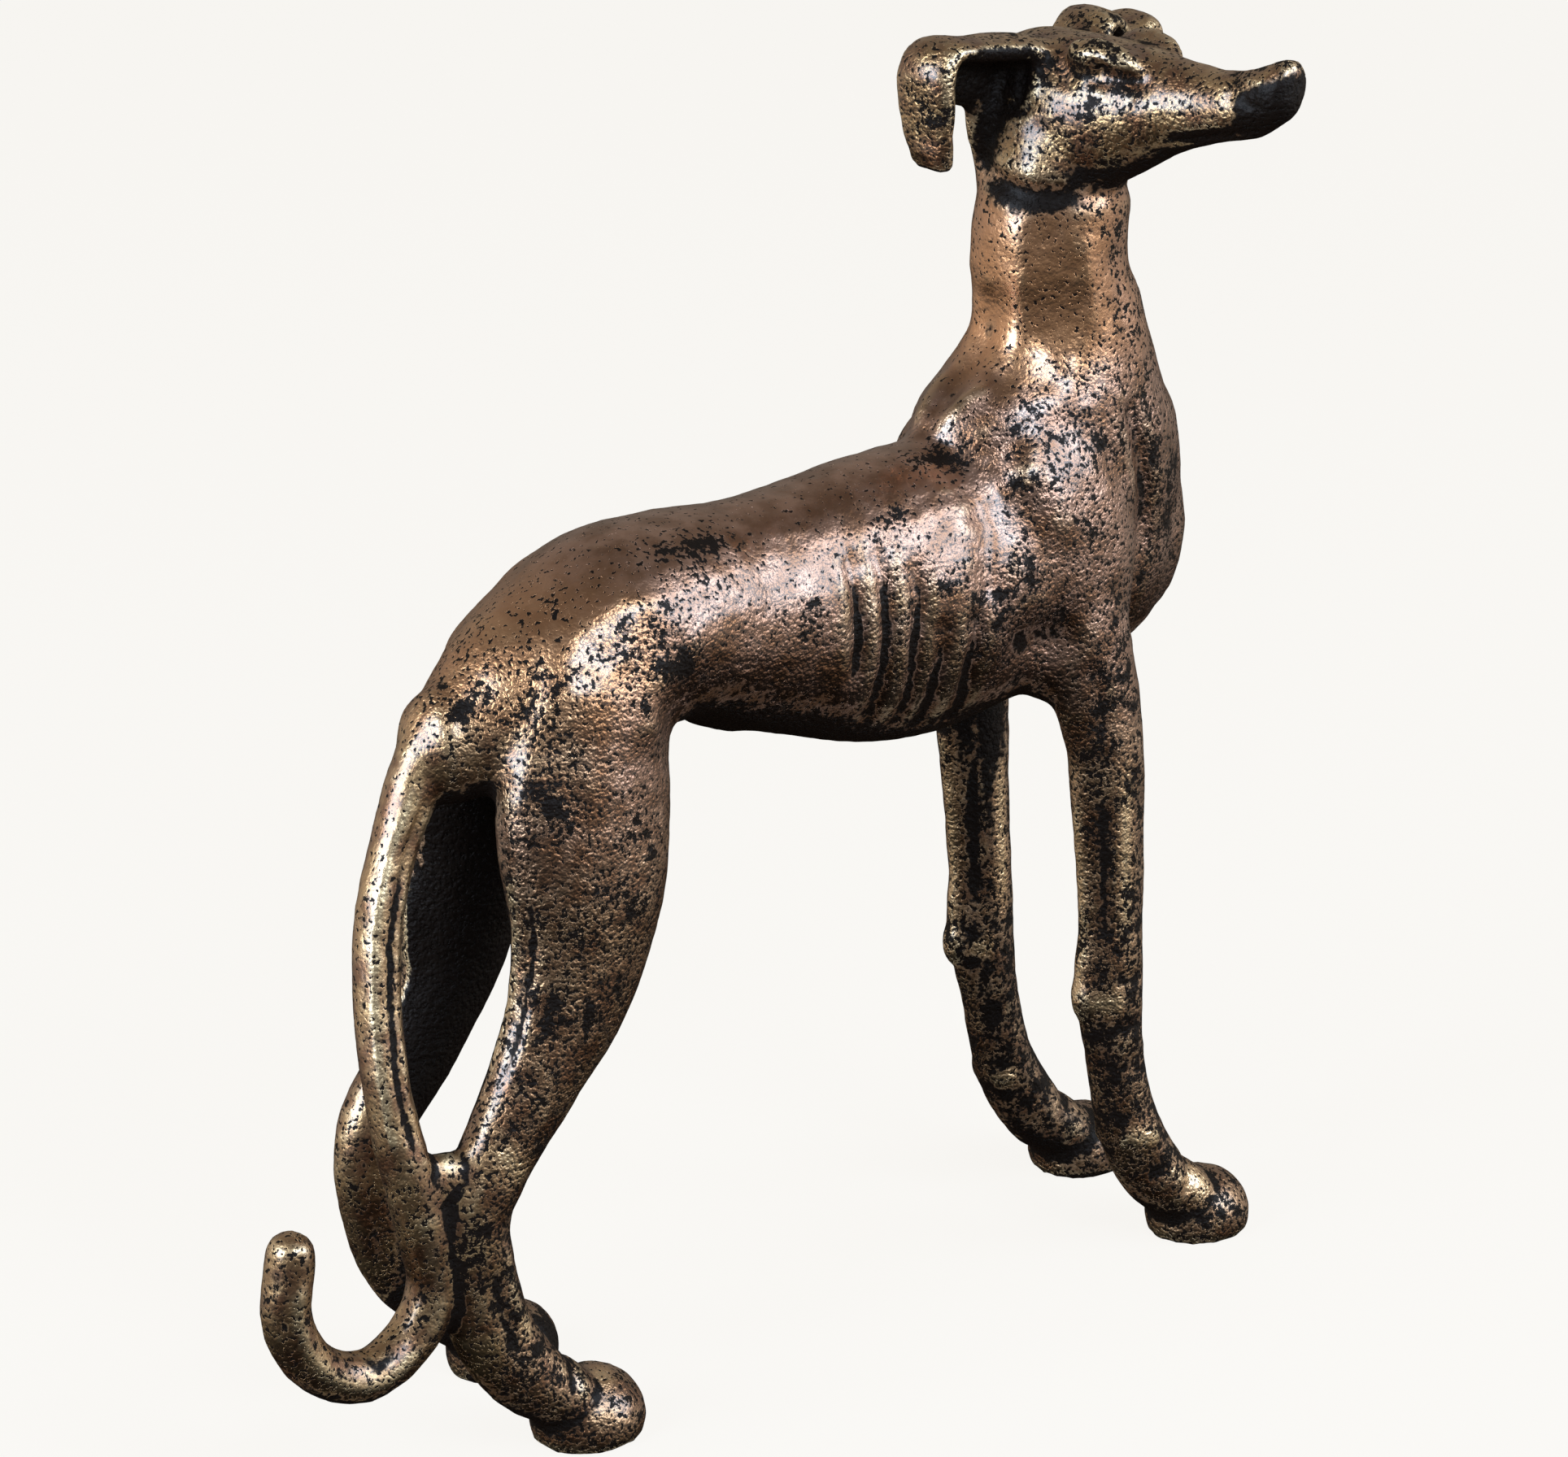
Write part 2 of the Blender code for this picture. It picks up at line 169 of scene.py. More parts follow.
WITHERS_DIP = [(12.5, 0, 69.5), (15.5, 0, 72.5), (17.5, 0, 76.5), (18.6, 0, 81.0)]
SHEATH = [(-11.5, 0, 52.0), (-8.0, 0, 50.4), (-4.5, 0, 49.0)]

places, normals, surface = read_skin()
for gap in RIB_GAPS:
    for side in both_sides(gap):
        carve(on_body(side), 2.6, 0.9, taper=0.35)
for crease, width, depth in (*TRUNK_CREASES, *NECK_CORDS):
    for side in both_sides(crease):
        carve(on_body(side), width, depth)
carve(on_body(WITHERS_DIP), 6.0, 1.8)
carve(on_body(SHEATH), 6.0, -2.0)
write_skin()

# The head. Brow, eye, lips, nostrils and the folds round the ears, cut a little sharper than the rest and
# then rubbed soft, so that they show as hollows and ridges and not as lines.
HEAD_TURN, HEAD_DROP = math.radians(-78), math.radians(-2.6)  # about the upright line, and of the muzzle
HEAD = Matrix.Translation(Vector((26.0, 0, 95.0)) * HUNDREDTH + MIDDLE)
HEAD = HEAD @ Matrix.Rotation(HEAD_TURN, 4, "Z") @ Matrix.Rotation(HEAD_DROP, 4, "X")


def on_head(points):
    """Points of the head, forward, to its left and up from its middle, from hundredths of the height."""
    return [HEAD @ (Vector(p) * HUNDREDTH) for p in points]


FACE = (  # path on the right side, width and depth in mm
    # Under the brow, the eye's socket, the cheek below it, the brow, the lower lid and the temple.
    ([(2.8, -3.6, 3.4), (4.6, -3.9, 3.4), (6.6, -3.8, 3.2), (8.6, -3.2, 2.6), (10.4, -2.4, 2.2)], 3.4, 0.5),
    ([(5.0, -4.4, 2.4), (5.8, -4.2, 2.3), (6.8, -3.9, 2.1)], 2.0, 1.4),
    ([(6.9, -3.7, 1.4), (8.2, -3.3, 0.9), (9.6, -3.0, 0.3)], 4.0, -1.3),
    ([(4.4, -3.4, 4.0), (6.4, -3.4, 3.9), (8.4, -2.9, 3.4)], 3.5, -0.8),
    ([(4.2, -4.7, 1.0), (5.6, -4.6, 0.8), (7.2, -4.3, 0.2)], 3.0, -0.6),
    ([(1.5, -4.6, 2.6), (3.0, -4.6, 1.6), (4.0, -4.8, 0.2)], 4.0, 0.8),
    # The line of the mouth, the upper lip, the nose's rear edge, the nostril and its upper rim.
    (
        [(11.0, -1.9, -3.3), (13.0, -1.6, -2.7), (15.5, -1.5, -2.2), (18.0, -1.2, -1.5), (19.4, -0.6, -0.6)],
        1.6,
        1.3,
    ),
    ([(11.0, -2.6, -2.2), (14.0, -2.2, -1.4), (17.0, -1.9, -0.7)], 2.4, -0.7),
    ([(16.4, -0.4, 3.0), (16.8, -1.2, 2.6), (16.9, -1.9, 1.6), (16.5, -2.3, 0.6)], 1.3, 1.0),
    ([(17.6, -1.9, 1.4), (18.6, -1.9, 0.9), (19.6, -1.7, 1.1)], 1.4, 1.2),
    ([(17.2, -1.4, 2.6), (18.6, -1.5, 2.4), (20.0, -1.3, 2.4)], 1.8, -0.6),
)
EAR_AND_JAW = (
    # The folds where the ear leaves the head, the ear's front rim, its hollow and its rear rim.
    ([(0.2, -4.6, 3.6), (-0.4, -5.0, 1.2), (-0.2, -5.0, -0.6), (-1.2, -5.0, -2.6)], 1.8, 1.6),
    ([(1.4, -4.6, 3.0), (0.9, -5.0, 1.0), (1.0, -5.2, -1.0)], 2.0, -0.8),
    ([(-0.6, -4.9, -2.2), (0.6, -5.3, -1.6), (1.6, -5.4, -0.6)], 1.2, 0.9),
    ([(-0.5, -11.9, 2.4), (-0.5, -12.2, 0.0), (-0.7, -12.0, -3.0)], 1.8, -0.7),
    ([(-2.8, -14.4, 1.6), (-2.8, -14.0, -1.4), (-2.7, -13.3, -4.4)], 7.0, 0.9),
    ([(-5.2, -14.0, 2.6), (-5.2, -13.8, -0.6), (-4.6, -13.2, -5.0)], 2.0, -0.6),
    # The crease between jaw and neck, and the edge of the jaw above it.
    (
        [(-4.8, -3.2, -5.2), (-3.2, -4.4, -6.4), (-0.6, -4.9, -7.4), (2.6, -4.6, -7.5), (5.8, -2.6, -7.2)],
        4.4,
        0.3,
    ),
    ([(-2.4, -4.8, -4.8), (0.4, -5.2, -5.8), (3.4, -4.9, -5.6), (6.4, -4.0, -4.9)], 5.0, -0.4),
)
FAR_EAR_FOLD = [(-0.6, 5.2, 4.4), (-0.6, 6.8, 4.4)]
EYEBALL = [(5.2, -4.2, 2.4), (6.3, -4.0, 2.3)]

places, normals, surface = read_skin()
for crease, width, depth in (*FACE, *EAR_AND_JAW):
    for side in both_sides(crease):
        carve(on_head(side), width, depth, taper=0.25)
carve(on_head(FAR_EAR_FOLD), 5.0, 1.6, taper=0.6)
write_skin()
places, normals, surface = read_skin()  # the eyeballs stand up from the sockets as cut
for side in both_sides(EYEBALL):
    carve(on_head(side), 1.7, -1.5, taper=0.45)
write_skin()

# The legs and the tail. Flat faces with rounded edges, a cord behind each hock, knobbed joints and paws like
# clubs. A file has left two long facets on the tail, with a furrow between them.
LEG_CREASES = (  # path on the right side, width and depth in mm
    # The forearm: its rear edge, the furrows on both sides of that edge, the carpus and the front edge.
    ([(22.0, -7.5, 44.0), (22.4, -7.5, 36.0), (22.9, -7.6, 29.0), (22.9, -7.8, 24.5)], 2.6, -0.8),
    ([(22.7, -6.1, 42.0), (23.2, -6.1, 33.0), (23.5, -6.2, 26.0)], 2.4, 0.8),
    ([(23.1, -9.2, 43.0), (23.5, -9.2, 35.0), (23.9, -9.3, 27.0)], 2.4, 0.8),
    ([(22.5, -7.6, 29.0), (22.2, -7.6, 25.0), (22.6, -7.5, 21.0), (24.2, -7.6, 16.0)], 6.0, -1.2),
    ([(27.6, -8.6, 44.0), (27.9, -8.6, 36.0), (28.0, -8.6, 27.0)], 2.6, -0.8),
    # The furrows over and under the carpus, the waist below it, the fetlock's inside, the pastern, the toes.
    ([(24.2, -9.9, 25.4), (26.2, -9.9, 24.6), (28.2, -9.4, 25.2)], 3.0, 0.8),
    ([(24.0, -9.9, 21.2), (26.0, -9.9, 20.6), (28.4, -9.4, 21.0)], 3.0, 0.8),
    ([(25.2, -9.4, 17.6), (26.6, -9.7, 17.2), (28.4, -9.5, 17.2)], 5.5, 0.9),
    ([(24.8, -6.4, 17.0), (26.6, -5.7, 17.0)], 5.5, 0.9),
    ([(25.8, -6.8, 10.0), (27.6, -5.8, 11.2)], 5.0, -1.3),
    ([(28.2, -9.6, 7.4), (30.6, -9.9, 7.4)], 4.5, 1.0),
    ([(32.2, -9.9, 3.0), (32.4, -9.4, 5.6), (32.8, -7.8, 6.6), (32.4, -6.2, 5.6)], 2.6, 1.2),
    # The hind leg: the rim down the back of the thigh, its furrow, the hock's cord and furrow, the toes.
    (
        [
            (-30.9, -5.7, 48.0),
            (-30.4, -6.2, 43.0),
            (-30.3, -5.9, 38.8),
            (-31.6, -5.8, 33.1),
            (-33.8, -6.1, 28.8),
        ],
        2.2,
        -0.9,
    ),
    (
        [
            (-30.0, -7.0, 48.0),
            (-29.5, -7.5, 43.0),
            (-29.4, -7.2, 38.8),
            (-30.7, -7.1, 33.1),
            (-32.9, -7.4, 28.8),
        ],
        2.0,
        0.7,
    ),
    ([(-32.6, -8.9, 19.5), (-32.4, -8.9, 15.0), (-31.0, -9.0, 10.5)], 3.4, -0.8),
    ([(-34.6, -8.9, 18.0), (-33.8, -8.9, 13.0), (-31.8, -9.0, 8.5)], 4.0, 1.0),
    ([(-28.0, -3.4, 3.4), (-27.8, -5.0, 6.0), (-27.8, -8.2, 6.0), (-28.0, -9.8, 3.4)], 2.6, 1.2),
)
FETLOCK = [(25.6, -9.0, 10.6), (27.6, -9.8, 10.7), (30.0, -9.8, 10.7)]
LEFT_THIGH_EDGE = [(-30.8, 6.4, 44.0), (-31.0, 6.3, 40.0), (-31.0, 6.2, 37.0), (-31.4, 5.5, 34.0)]
TAIL = (
    (-34.0, -0.3, 53.4),
    (-36.9, -0.9, 48.0),
    (-39.0, -1.9, 43.2),
    (-40.2, -3.3, 37.1),
    (-40.6, -4.8, 31.6),
    (-40.0, -5.8, 26.0),
)
HOOK = (
    (-39.9, -8.2, 12.4),
    (-43.9, -8.2, 10.4),
    (-48.2, -8.2, 12.3),
    (-50.5, -8.2, 16.7),
    (-50.2, -8.2, 21.0),
)
MARKS = (("thumb marks", 0.016, 0.0008), ("tool marks", 0.006, 0.00045))  # name, and metres across and deep

places, normals, surface = read_skin()
for crease, width, depth in LEG_CREASES:
    for side in both_sides(crease):
        carve(on_body(side), width, depth)
for side in both_sides(FETLOCK):
    carve(on_body(side), 5.0, -1.3, taper=0.2)
carve(on_body(LEFT_THIGH_EDGE), 5.0, -2.4)
carve(on_body([(x + 0.1, y - 2.0, z) for x, y, z in TAIL]), 2.0, 1.2, taper=0.1)
carve(on_body([(x - 1.4, y - 1.6, z) for x, y, z in TAIL]), 2.0, -0.8, taper=0.1)
carve(on_body(HOOK), 2.4, -0.9, taper=0.1)
write_skin()
for name, grain, strength in MARKS:
    marks = bpy.data.textures.new(name, "CLOUDS")
    marks.noise_scale = grain
    dent = hound.modifiers.new(name, "DISPLACE")
    dent.texture = marks
    dent.texture_coords = "LOCAL"
    dent.strength = strength
    bpy.ops.object.modifier_apply(modifier=dent.name)
places, normals, surface = read_skin()
places[:, 2] = np.maximum(places[:, 2], 0)  # the soles were ground flat
write_skin()

# The metal. Cast bronze, patinated black, then rubbed back by hand and waxed: brown flanks, golden head, tail
# and ridges. The ridges, leg edges, neck and haunch are lightened partly by painted light, and the black
# holds painted shade as well as patina. The eye gets a warm semi-gloss, broken by sand pits, with soft
# highlights on the bare metal and next to none on the black.
# BUFFED_AND_LIT and BRIGHT also carry painted light, and BLACK also carries painted shade.
BROWN, GOLDEN, UMBER = "#a88470", "#bb9a6e", "#7c563a"
BUFFED_AND_LIT, BRIGHT, BLACK = "#d49c6c", "#ead2a6", "#100a07"
NOISES = (  # millimetres across, detail and roughness
    (1.7, 1.5, 0.50),  # grain: the sand's, which left pits
    (7.0, 5.0, 0.75),  # stain: the ragged black blotches
    (26.0, 3.0, 0.60),  # crowd: where pits and blotches crowd together
    (12.0, 4.0, 0.55),  # tint: browner and lighter metal
    (2.4, 3.0, 0.60),  # smear: how the black runs out of the hollows
    (4.5, 3.0, 0.55),  # dimple: the soft unevenness of hand-rubbed metal
)
EASED = {"interpolation_type": "SMOOTHSTEP"}


def hue(code):
    """An sRGB hex colour as linear light."""
    parts = [int(code[k : k + 2], 16) / 255 for k in (1, 3, 5)]
    return (*[c / 12.92 if c <= 0.04045 else ((c + 0.055) / 1.055) ** 2.4 for c in parts], 1)


def add(tree, kind, links=None, **settings):
    """Adds a node, sets its properties, and fills its inputs from values, sockets or other nodes."""
    node = tree.nodes.new("ShaderNode" + kind)
    for name, value in settings.items():
        setattr(node, name, value)
    for name, source in (links or {}).items():
        if isinstance(source, bpy.types.Node):
            source = next(socket for socket in source.outputs if socket.enabled)
        if isinstance(source, bpy.types.NodeSocket):
            tree.links.new(source, node.inputs[name])
        else:
            node.inputs[name].default_value = source
    return node


bronze = bpy.data.materials.new("antiqued_cast_bronze")
bronze.use_nodes = True
metal = bronze.node_tree
shader = metal.nodes["Principled BSDF"]
place = add(metal, "TexCoord").outputs["Object"]
patina_and_shade, ridge, gold, buffed_and_lit, coarse, kept = (
    add(metal, "Attribute", attribute_name=name).outputs["Fac"]
    for name in ("patina_and_shade", "ridge", "gold", "buffed_and_lit", "coarse", "kept")
)
grain, stain, crowd, tint, smear, dimple = (
    add(metal, "TexNoise", {"Vector": place, "Scale": 1000 / size, "Detail": detail, "Roughness": rough})
    for size, detail, rough in NOISES
)

# Its black: pits and blotches, which crowd where the patina was kept, and a smudge of patina and painted
# shade out of each hollow, underside and inner leg.
links = {"Value": crowd, "From Min": 0.47, "From Max": 0.62, "To Max": 0.8}
crowded = add(metal, "MapRange", links, **EASED)
coarsely = add(metal, "Math", {0: crowded, 1: coarse}, operation="MULTIPLY")
clusters = add(metal, "Math", {0: coarsely, 1: kept}, operation="MAXIMUM")
deepened = add(metal, "Math", {0: clusters, 1: 0.14, 2: grain}, operation="MULTIPLY_ADD")
pits = add(metal, "MapRange", {"Value": deepened, "From Min": 0.63, "From Max": 0.69}, **EASED)
stained = add(metal, "Math", {0: clusters, 1: 0.24, 2: stain}, operation="MULTIPLY_ADD")
blotches = add(metal, "MapRange", {"Value": stained, "From Min": 0.71, "From Max": 0.735}, **EASED)
smeared = add(metal, "Math", {0: smear, 1: 0.5}, operation="MULTIPLY")
smudged_and_shaded = add(metal, "Math", {0: patina_and_shade, 1: 0.5, 2: smeared}, operation="MULTIPLY_ADD")
smudge_and_shade = add(metal, "MapRange", {"Value": smudged_and_shaded, "From Min": 0.42, "From Max": 0.62}, **EASED)
spots = add(metal, "Math", {0: pits, 1: blotches}, operation="MAXIMUM")
black_and_shade = add(metal, "Math", {0: smudge_and_shade, 1: spots}, operation="MAXIMUM")

# Its colour, from brown and golden metal to the bright ridges, under the black. The lighter and bright mixes
# are partly rubbed metal and partly painted light on the neck, haunch, ridges and leg edges.
rubbed = add(metal, "Mix", {"Factor": gold, "A": hue(BROWN), "B": hue(GOLDEN)}, data_type="RGBA")
browner = add(metal, "MapRange", {"Value": tint, "From Min": 0.32, "From Max": 0.66}, **EASED)
tinted = add(metal, "Mix", {"Factor": browner, "A": rubbed, "B": hue(UMBER)}, data_type="RGBA")
lighter = add(metal, "Mix", {"Factor": buffed_and_lit, "A": tinted, "B": hue(BUFFED_AND_LIT)}, data_type="RGBA")
edged = add(metal, "Math", {0: ridge, 1: 0.8}, operation="MULTIPLY")
bright = add(metal, "Mix", {"Factor": edged, "A": lighter, "B": hue(BRIGHT)}, data_type="RGBA")
colour = add(metal, "Mix", {"Factor": black_and_shade, "A": bright, "B": hue(BLACK)}, data_type="RGBA")

# Its gloss: bare waxed metal, and a patina that is a dull salt and not a metal.
metallic = add(metal, "MapRange", {"Value": black_and_shade, "To Min": 1.0, "To Max": 0.1}, **EASED)
duller = add(metal, "MapRange", {"Value": black_and_shade, "To Min": 0.36, "To Max": 0.50}, **EASED)
satin = add(metal, "Math", {0: gold, 1: 0.05, 2: duller}, operation="MULTIPLY_ADD")
sheen = add(metal, "MapRange", {"Value": black_and_shade, "To Min": 0.5, "To Max": 0.12}, **EASED)
wax = add(metal, "MapRange", {"Value": black_and_shade, "To Min": 0.6, "To Max": 0.03}, **EASED)
shader.inputs["Coat IOR"].default_value = 1.9
shader.inputs["Coat Roughness"].default_value = 0.30

# Its relief: dimples, then the sand's grain where the casting is coarse, then the pits' and blotches' edges.
softly = add(metal, "Bump", {"Height": dimple, "Distance": 0.0010, "Strength": 0.45})
grained = add(metal, "Math", {0: grain, 1: coarse}, operation="MULTIPLY")
sand = add(metal, "Math", {0: 1.0, 1: grained}, operation="SUBTRACT")
sanded = add(metal, "Bump", {"Height": sand, "Distance": 0.0012, "Strength": 0.75, "Normal": softly})
shallow = add(metal, "Math", {0: blotches, 1: 0.7}, operation="MULTIPLY")
eaten = add(metal, "Math", {0: pits, 1: shallow}, operation="MAXIMUM")
worn = add(metal, "Math", {0: 1.0, 1: eaten}, operation="SUBTRACT")
relief = add(metal, "Bump", {"Height": worn, "Distance": 0.0006, "Strength": 1.0, "Normal": sanded})

metal.links.new(colour.outputs["Result"], shader.inputs["Base Color"])
metal.links.new(metallic.outputs["Result"], shader.inputs["Metallic"])
metal.links.new(satin.outputs["Value"], shader.inputs["Roughness"])
metal.links.new(sheen.outputs["Result"], shader.inputs["Specular IOR Level"])
metal.links.new(wax.outputs["Result"], shader.inputs["Coat Weight"])
metal.links.new(relief.outputs["Normal"], shader.inputs["Normal"])

# The patina and the painted shade. The black patina stayed where the rubbing cloth couldn't reach, in
# hollows;
# painted shade darkens the hollows, the belly, the undersides and the insides of the legs. Edges and knobs
# came clean, partly rubbed metal and partly painted highlight. The paths are where this figure was rubbed
# or missed by hand, and where shade and highlight are painted.
# Painted shade in the armpit: path, width in mm.
SHADE_ON_BODY = (([(14.6, -8.4, 56.4), (15.6, -8.5, 54.4), (17.4, -8.0, 53.4)], 5.0),)  # path, width in mm
SHADE_ON_HEAD = (
    # Painted shade under the jaw, along its lower edge, at the ear's lip, under the ear,
    # in the line of the mouth and at the eye.
    ([(-4.5, -5.0, -6.4), (-1.6, -5.9, -7.8), (1.7, -5.8, -8.2), (4.1, -4.1, -8.0), (7.5, -1.2, -7.8)], 6.5),
    ([(2.6, -4.9, -6.6), (4.4, -4.0, -6.5), (6.8, -2.2, -6.0), (9.4, -1.6, -4.8)], 6.0),
    ([(-0.3, -12.9, 3.2), (0.0, -10.2, 3.1), (0.5, -7.6, 2.9), (0.9, -5.4, 2.7), (1.2, -4.2, 2.3)], 3.0),
    ([(-1.8, -9.0, 1.4), (-2.7, -7.5, 0.6), (-2.4, -5.9, 1.2), (-1.4, -5.2, 1.6)], 7.0),
    ([(-2.2, -5.7, 1.4), (-2.4, -5.7, -1.9), (-2.8, -5.5, -5.3), (-3.4, -5.3, -8.5)], 7.5),
    (
        [(9.0, -2.8, -3.7), (11.3, -2.2, -2.9), (13.8, -1.2, -2.6), (16.5, -1.2, -1.9), (18.9, -0.9, -1.0)],
        2.4,
    ),
    ([(5.4, -4.2, 2.4), (6.3, -3.8, 2.2), (7.3, -3.5, 1.8)], 1.8),
)
KEPT_ON_BODY = (  # where black blotches crowd: path and width in mm
    # The chest, and the folds of the flank and the rump.
    ([(30.6, -4.4, 70.5), (32.0, -3.4, 64.0), (31.4, -3.0, 59.0), (28.5, -3.0, 53.0)], 12.0),
    ([(-23.0, -7.2, 60.4), (-18.7, -8.3, 59.9), (-15.2, -8.2, 58.6), (-13.0, -5.0, 54.5)], 11.0),
    ([(-25.5, -3.2, 63.4), (-23.0, -2.4, 64.6)], 6.0),
    ([(-29.0, -3.4, 60.6), (-33.8, -2.4, 56.0)], 7.0),
    # Along the loin, the ribs and the back.
    ([(-20.5, -3.6, 66.0), (-14.4, -4.6, 66.6), (-10.6, -4.5, 66.4), (-7.0, -6.8, 62.8)], 8.0),
    ([(-3.2, -6.8, 62.6), (-4.0, -7.4, 59.9), (-5.6, -7.6, 57.8)], 6.0),
    ([(2.0, -5.6, 65.2), (7.6, -5.4, 66.2)], 5.0),
    ([(7.0, -3.4, 68.0), (12.2, -2.8, 68.6), (14.6, -5.0, 67.0)], 9.0),
    # The shoulder, the elbow and the foreleg's outside, and the neck's root.
    ([(14.3, -8.3, 62.9), (17.2, -8.9, 56.4)], 7.0),
    ([(15.0, -8.7, 57.0), (21.0, -9.3, 54.6)], 9.0),
    ([(21.8, -7.9, 66.9), (25.4, -7.2, 69.6)], 7.0),
    ([(20.0, -8.8, 64.0), (23.9, -8.9, 60.4)], 6.0),
    (
        [(21.0, -9.2, 55.8), (23.1, -9.5, 51.3), (22.4, -9.2, 44.0), (24.0, -9.6, 34.0), (25.0, -9.8, 26.0)],
        7.0,
    ),
    ([(27.4, -6.3, 74.4), (29.5, -6.3, 70.2), (30.4, -6.5, 64.9), (30.1, -6.1, 59.6)], 6.0),
    # Under the ribs.
    ([(-13.0, -5.6, 55.0), (-6.0, -5.2, 52.4), (2.0, -4.6, 49.4), (12.0, -5.0, 47.6)], 10.0),
    # Down the thigh to the hock and the paw.
    ([(-30.0, -6.6, 53.0), (-28.1, -8.4, 51.1), (-26.7, -9.3, 47.0)], 8.0),
    ([(-28.0, -9.2, 46.8), (-24.6, -9.8, 44.3), (-22.0, -9.6, 42.4), (-20.6, -9.0, 38.6)], 10.0),
    ([(-28.4, -8.9, 41.5), (-23.7, -9.7, 40.5)], 7.0),
    ([(-31.2, -8.2, 32.0), (-28.7, -9.0, 36.2), (-28.4, -9.2, 39.0)], 7.0),
    ([(-37.6, -7.8, 24.6), (-36.1, -8.7, 20.7), (-36.2, -8.6, 17.0), (-38.0, -7.8, 13.4)], 10.0),
    ([(-28.2, -9.1, 5.9), (-24.0, -7.8, 5.1)], 5.0),
    ([(-31.0, -8.6, 4.0), (-28.4, -8.9, 2.4)], 6.0),
)
KEPT_ON_HEAD = (
    ([(3.2, -5.0, -0.8), (3.9, -4.9, -2.4), (4.4, -4.5, -4.2)], 5.0),
    ([(7.2, -3.4, 1.5), (10.3, -3.3, -0.4)], 4.0),
    ([(-2.4, -14.2, 1.8), (-2.1, -14.1, -1.1), (-2.7, -13.6, -4.4)], 6.0),
    ([(0.4, -4.8, 2.6), (2.6, -4.9, -0.4)], 4.0),
)
# Where blotches crowd on the forelegs; the same paths also get painted shade: path and width in mm.
KEPT_AND_SHADED_ON_FORELEGS = (
    ([(23.2, -9.4, 44.3), (23.6, -9.3, 35.1), (23.9, -9.4, 25.4)], 3.4),
    ([(22.5, -5.5, 46.0), (23.1, -5.8, 33.0), (23.5, -6.0, 24.0)], 4.5),
    ([(23.4, -9.1, 23.0), (24.4, -9.2, 19.5), (25.8, -9.6, 13.0)], 8.0),
    ([(23.8, -6.3, 23.0), (25.0, -6.0, 18.0), (26.4, -5.8, 12.5)], 8.0),
    ([(30.0, -10.0, 5.0), (32.0, -9.8, 1.4)], 6.0),
)
# Lightened edges and knobs: partly rubbed metal, partly painted highlight.
RUBBED_AND_HIGHLIT_ON_LEGS = (  # the edges and knobs that were rubbed bright: path and width in mm
    # The forearm's edges, the carpus from outside and inside, the fetlock likewise, and the toes.
    (
        [(21.6, -7.2, 45.0), (22.0, -7.3, 36.0), (22.6, -7.6, 29.0), (22.4, -7.5, 24.5), (23.6, -7.2, 19.0)],
        2.8,
    ),
    ([(25.1, -9.9, 45.0), (25.4, -9.8, 34.8), (25.8, -9.9, 25.0)], 3.0),
    ([(25.2, -5.3, 41.0), (26.1, -5.5, 24.0)], 3.0),
    ([(22.4, -8.4, 23.1), (24.0, -9.4, 23.1), (26.2, -9.9, 23.0)], 4.5),
    ([(22.8, -6.4, 23.1), (25.4, -5.5, 22.9)], 4.0),
    ([(26.0, -9.4, 10.7), (29.4, -10.0, 10.7)], 4.5),
    ([(26.1, -6.7, 9.9), (28.0, -5.7, 11.6)], 4.0),
    ([(32.0, -10.0, 6.8), (35.0, -10.6, 4.0)], 6.0),
    # The hock's front, the hind fetlock and the hind toes.
    ([(-34.0, -8.8, 26.8), (-31.0, -8.7, 22.6)], 4.0),
    ([(-31.6, -8.9, 13.0), (-31.0, -8.8, 10.0)], 4.0),
    ([(-25.4, -8.0, 5.0), (-23.4, -7.4, 3.6)], 4.5),
)
# The painted shade and the patina are lifted on these paths.
CLEARED_ON_FACE = (  # temple and tear line, smooth and rubbed clean
    ([(0.6, -4.2, 2.8), (2.6, -4.4, 2.4), (6.0, -4.3, 2.0)], 8.0),
    ([(5.4, -3.8, 1.8), (8.4, -3.2, 1.1), (10.8, -3.0, 0.4)], 7.0),
)
# How hidden each point is sets its painted shade as well as its patina.
RAYS = 14  # how many ways each point looks out for what hides it
FAR = 0.09  # metres: nothing farther off keeps a cloth away
GOLDEN_ANGLE = 2.399963  # radians: spreads the rays evenly

places, normals, surface = read_skin()
edges = np.empty(2 * len(hound.data.edges), int)
hound.data.edges.foreach_get("vertices", edges)
edges = edges.reshape(-1, 2)
joined = np.bincount(edges.ravel(), minlength=len(places))


def spread(values, rounds):
    """Evens a value out among neighbouring points."""
    for _ in range(rounds):
        sums = np.bincount(edges[:, 0], values[edges[:, 1]], len(values))
        sums += np.bincount(edges[:, 1], values[edges[:, 0]], len(values))
        values = (values + sums / joined) / 2
    return values


def rise(low, high, values):
    """A straight step of the values from 0 at low to 1 at high."""
    return np.clip((values - low) / (high - low), 0, 1)


# What the shape says: how far each point stands out, how hidden it is, and which part of the dog it is on.
soft_places = np.stack([spread(axis, 14) for axis in places.T], axis=1)
bulge = np.einsum("ij,ij->i", places - soft_places, normals)
crest = bulge - spread(bulge, 80)  # without a limb's own roundness
rays = []
for k in range(RAYS):
    turn, up = GOLDEN_ANGLE * k, 1 - (k + 0.5) / RAYS
    flat = math.sqrt(1 - up * up)
    rays.append(Vector((flat * math.cos(turn), flat * math.sin(turn), up)))
hidden = np.zeros(len(places))
for k, (spot, outward) in enumerate(zip(places, normals)):
    outward = Vector(outward)
    turned = Vector((0, 0, 1)).rotation_difference(outward)
    start = Vector(spot) + outward * 0.0012
    hidden[k] = sum(surface.ray_cast(start, turned @ ray, FAR)[0] is not None for ray in rays) / RAYS
hidden = spread(hidden, 3)
x, y, z = ((places - np.array(MIDDLE)) / HUNDREDTH).T
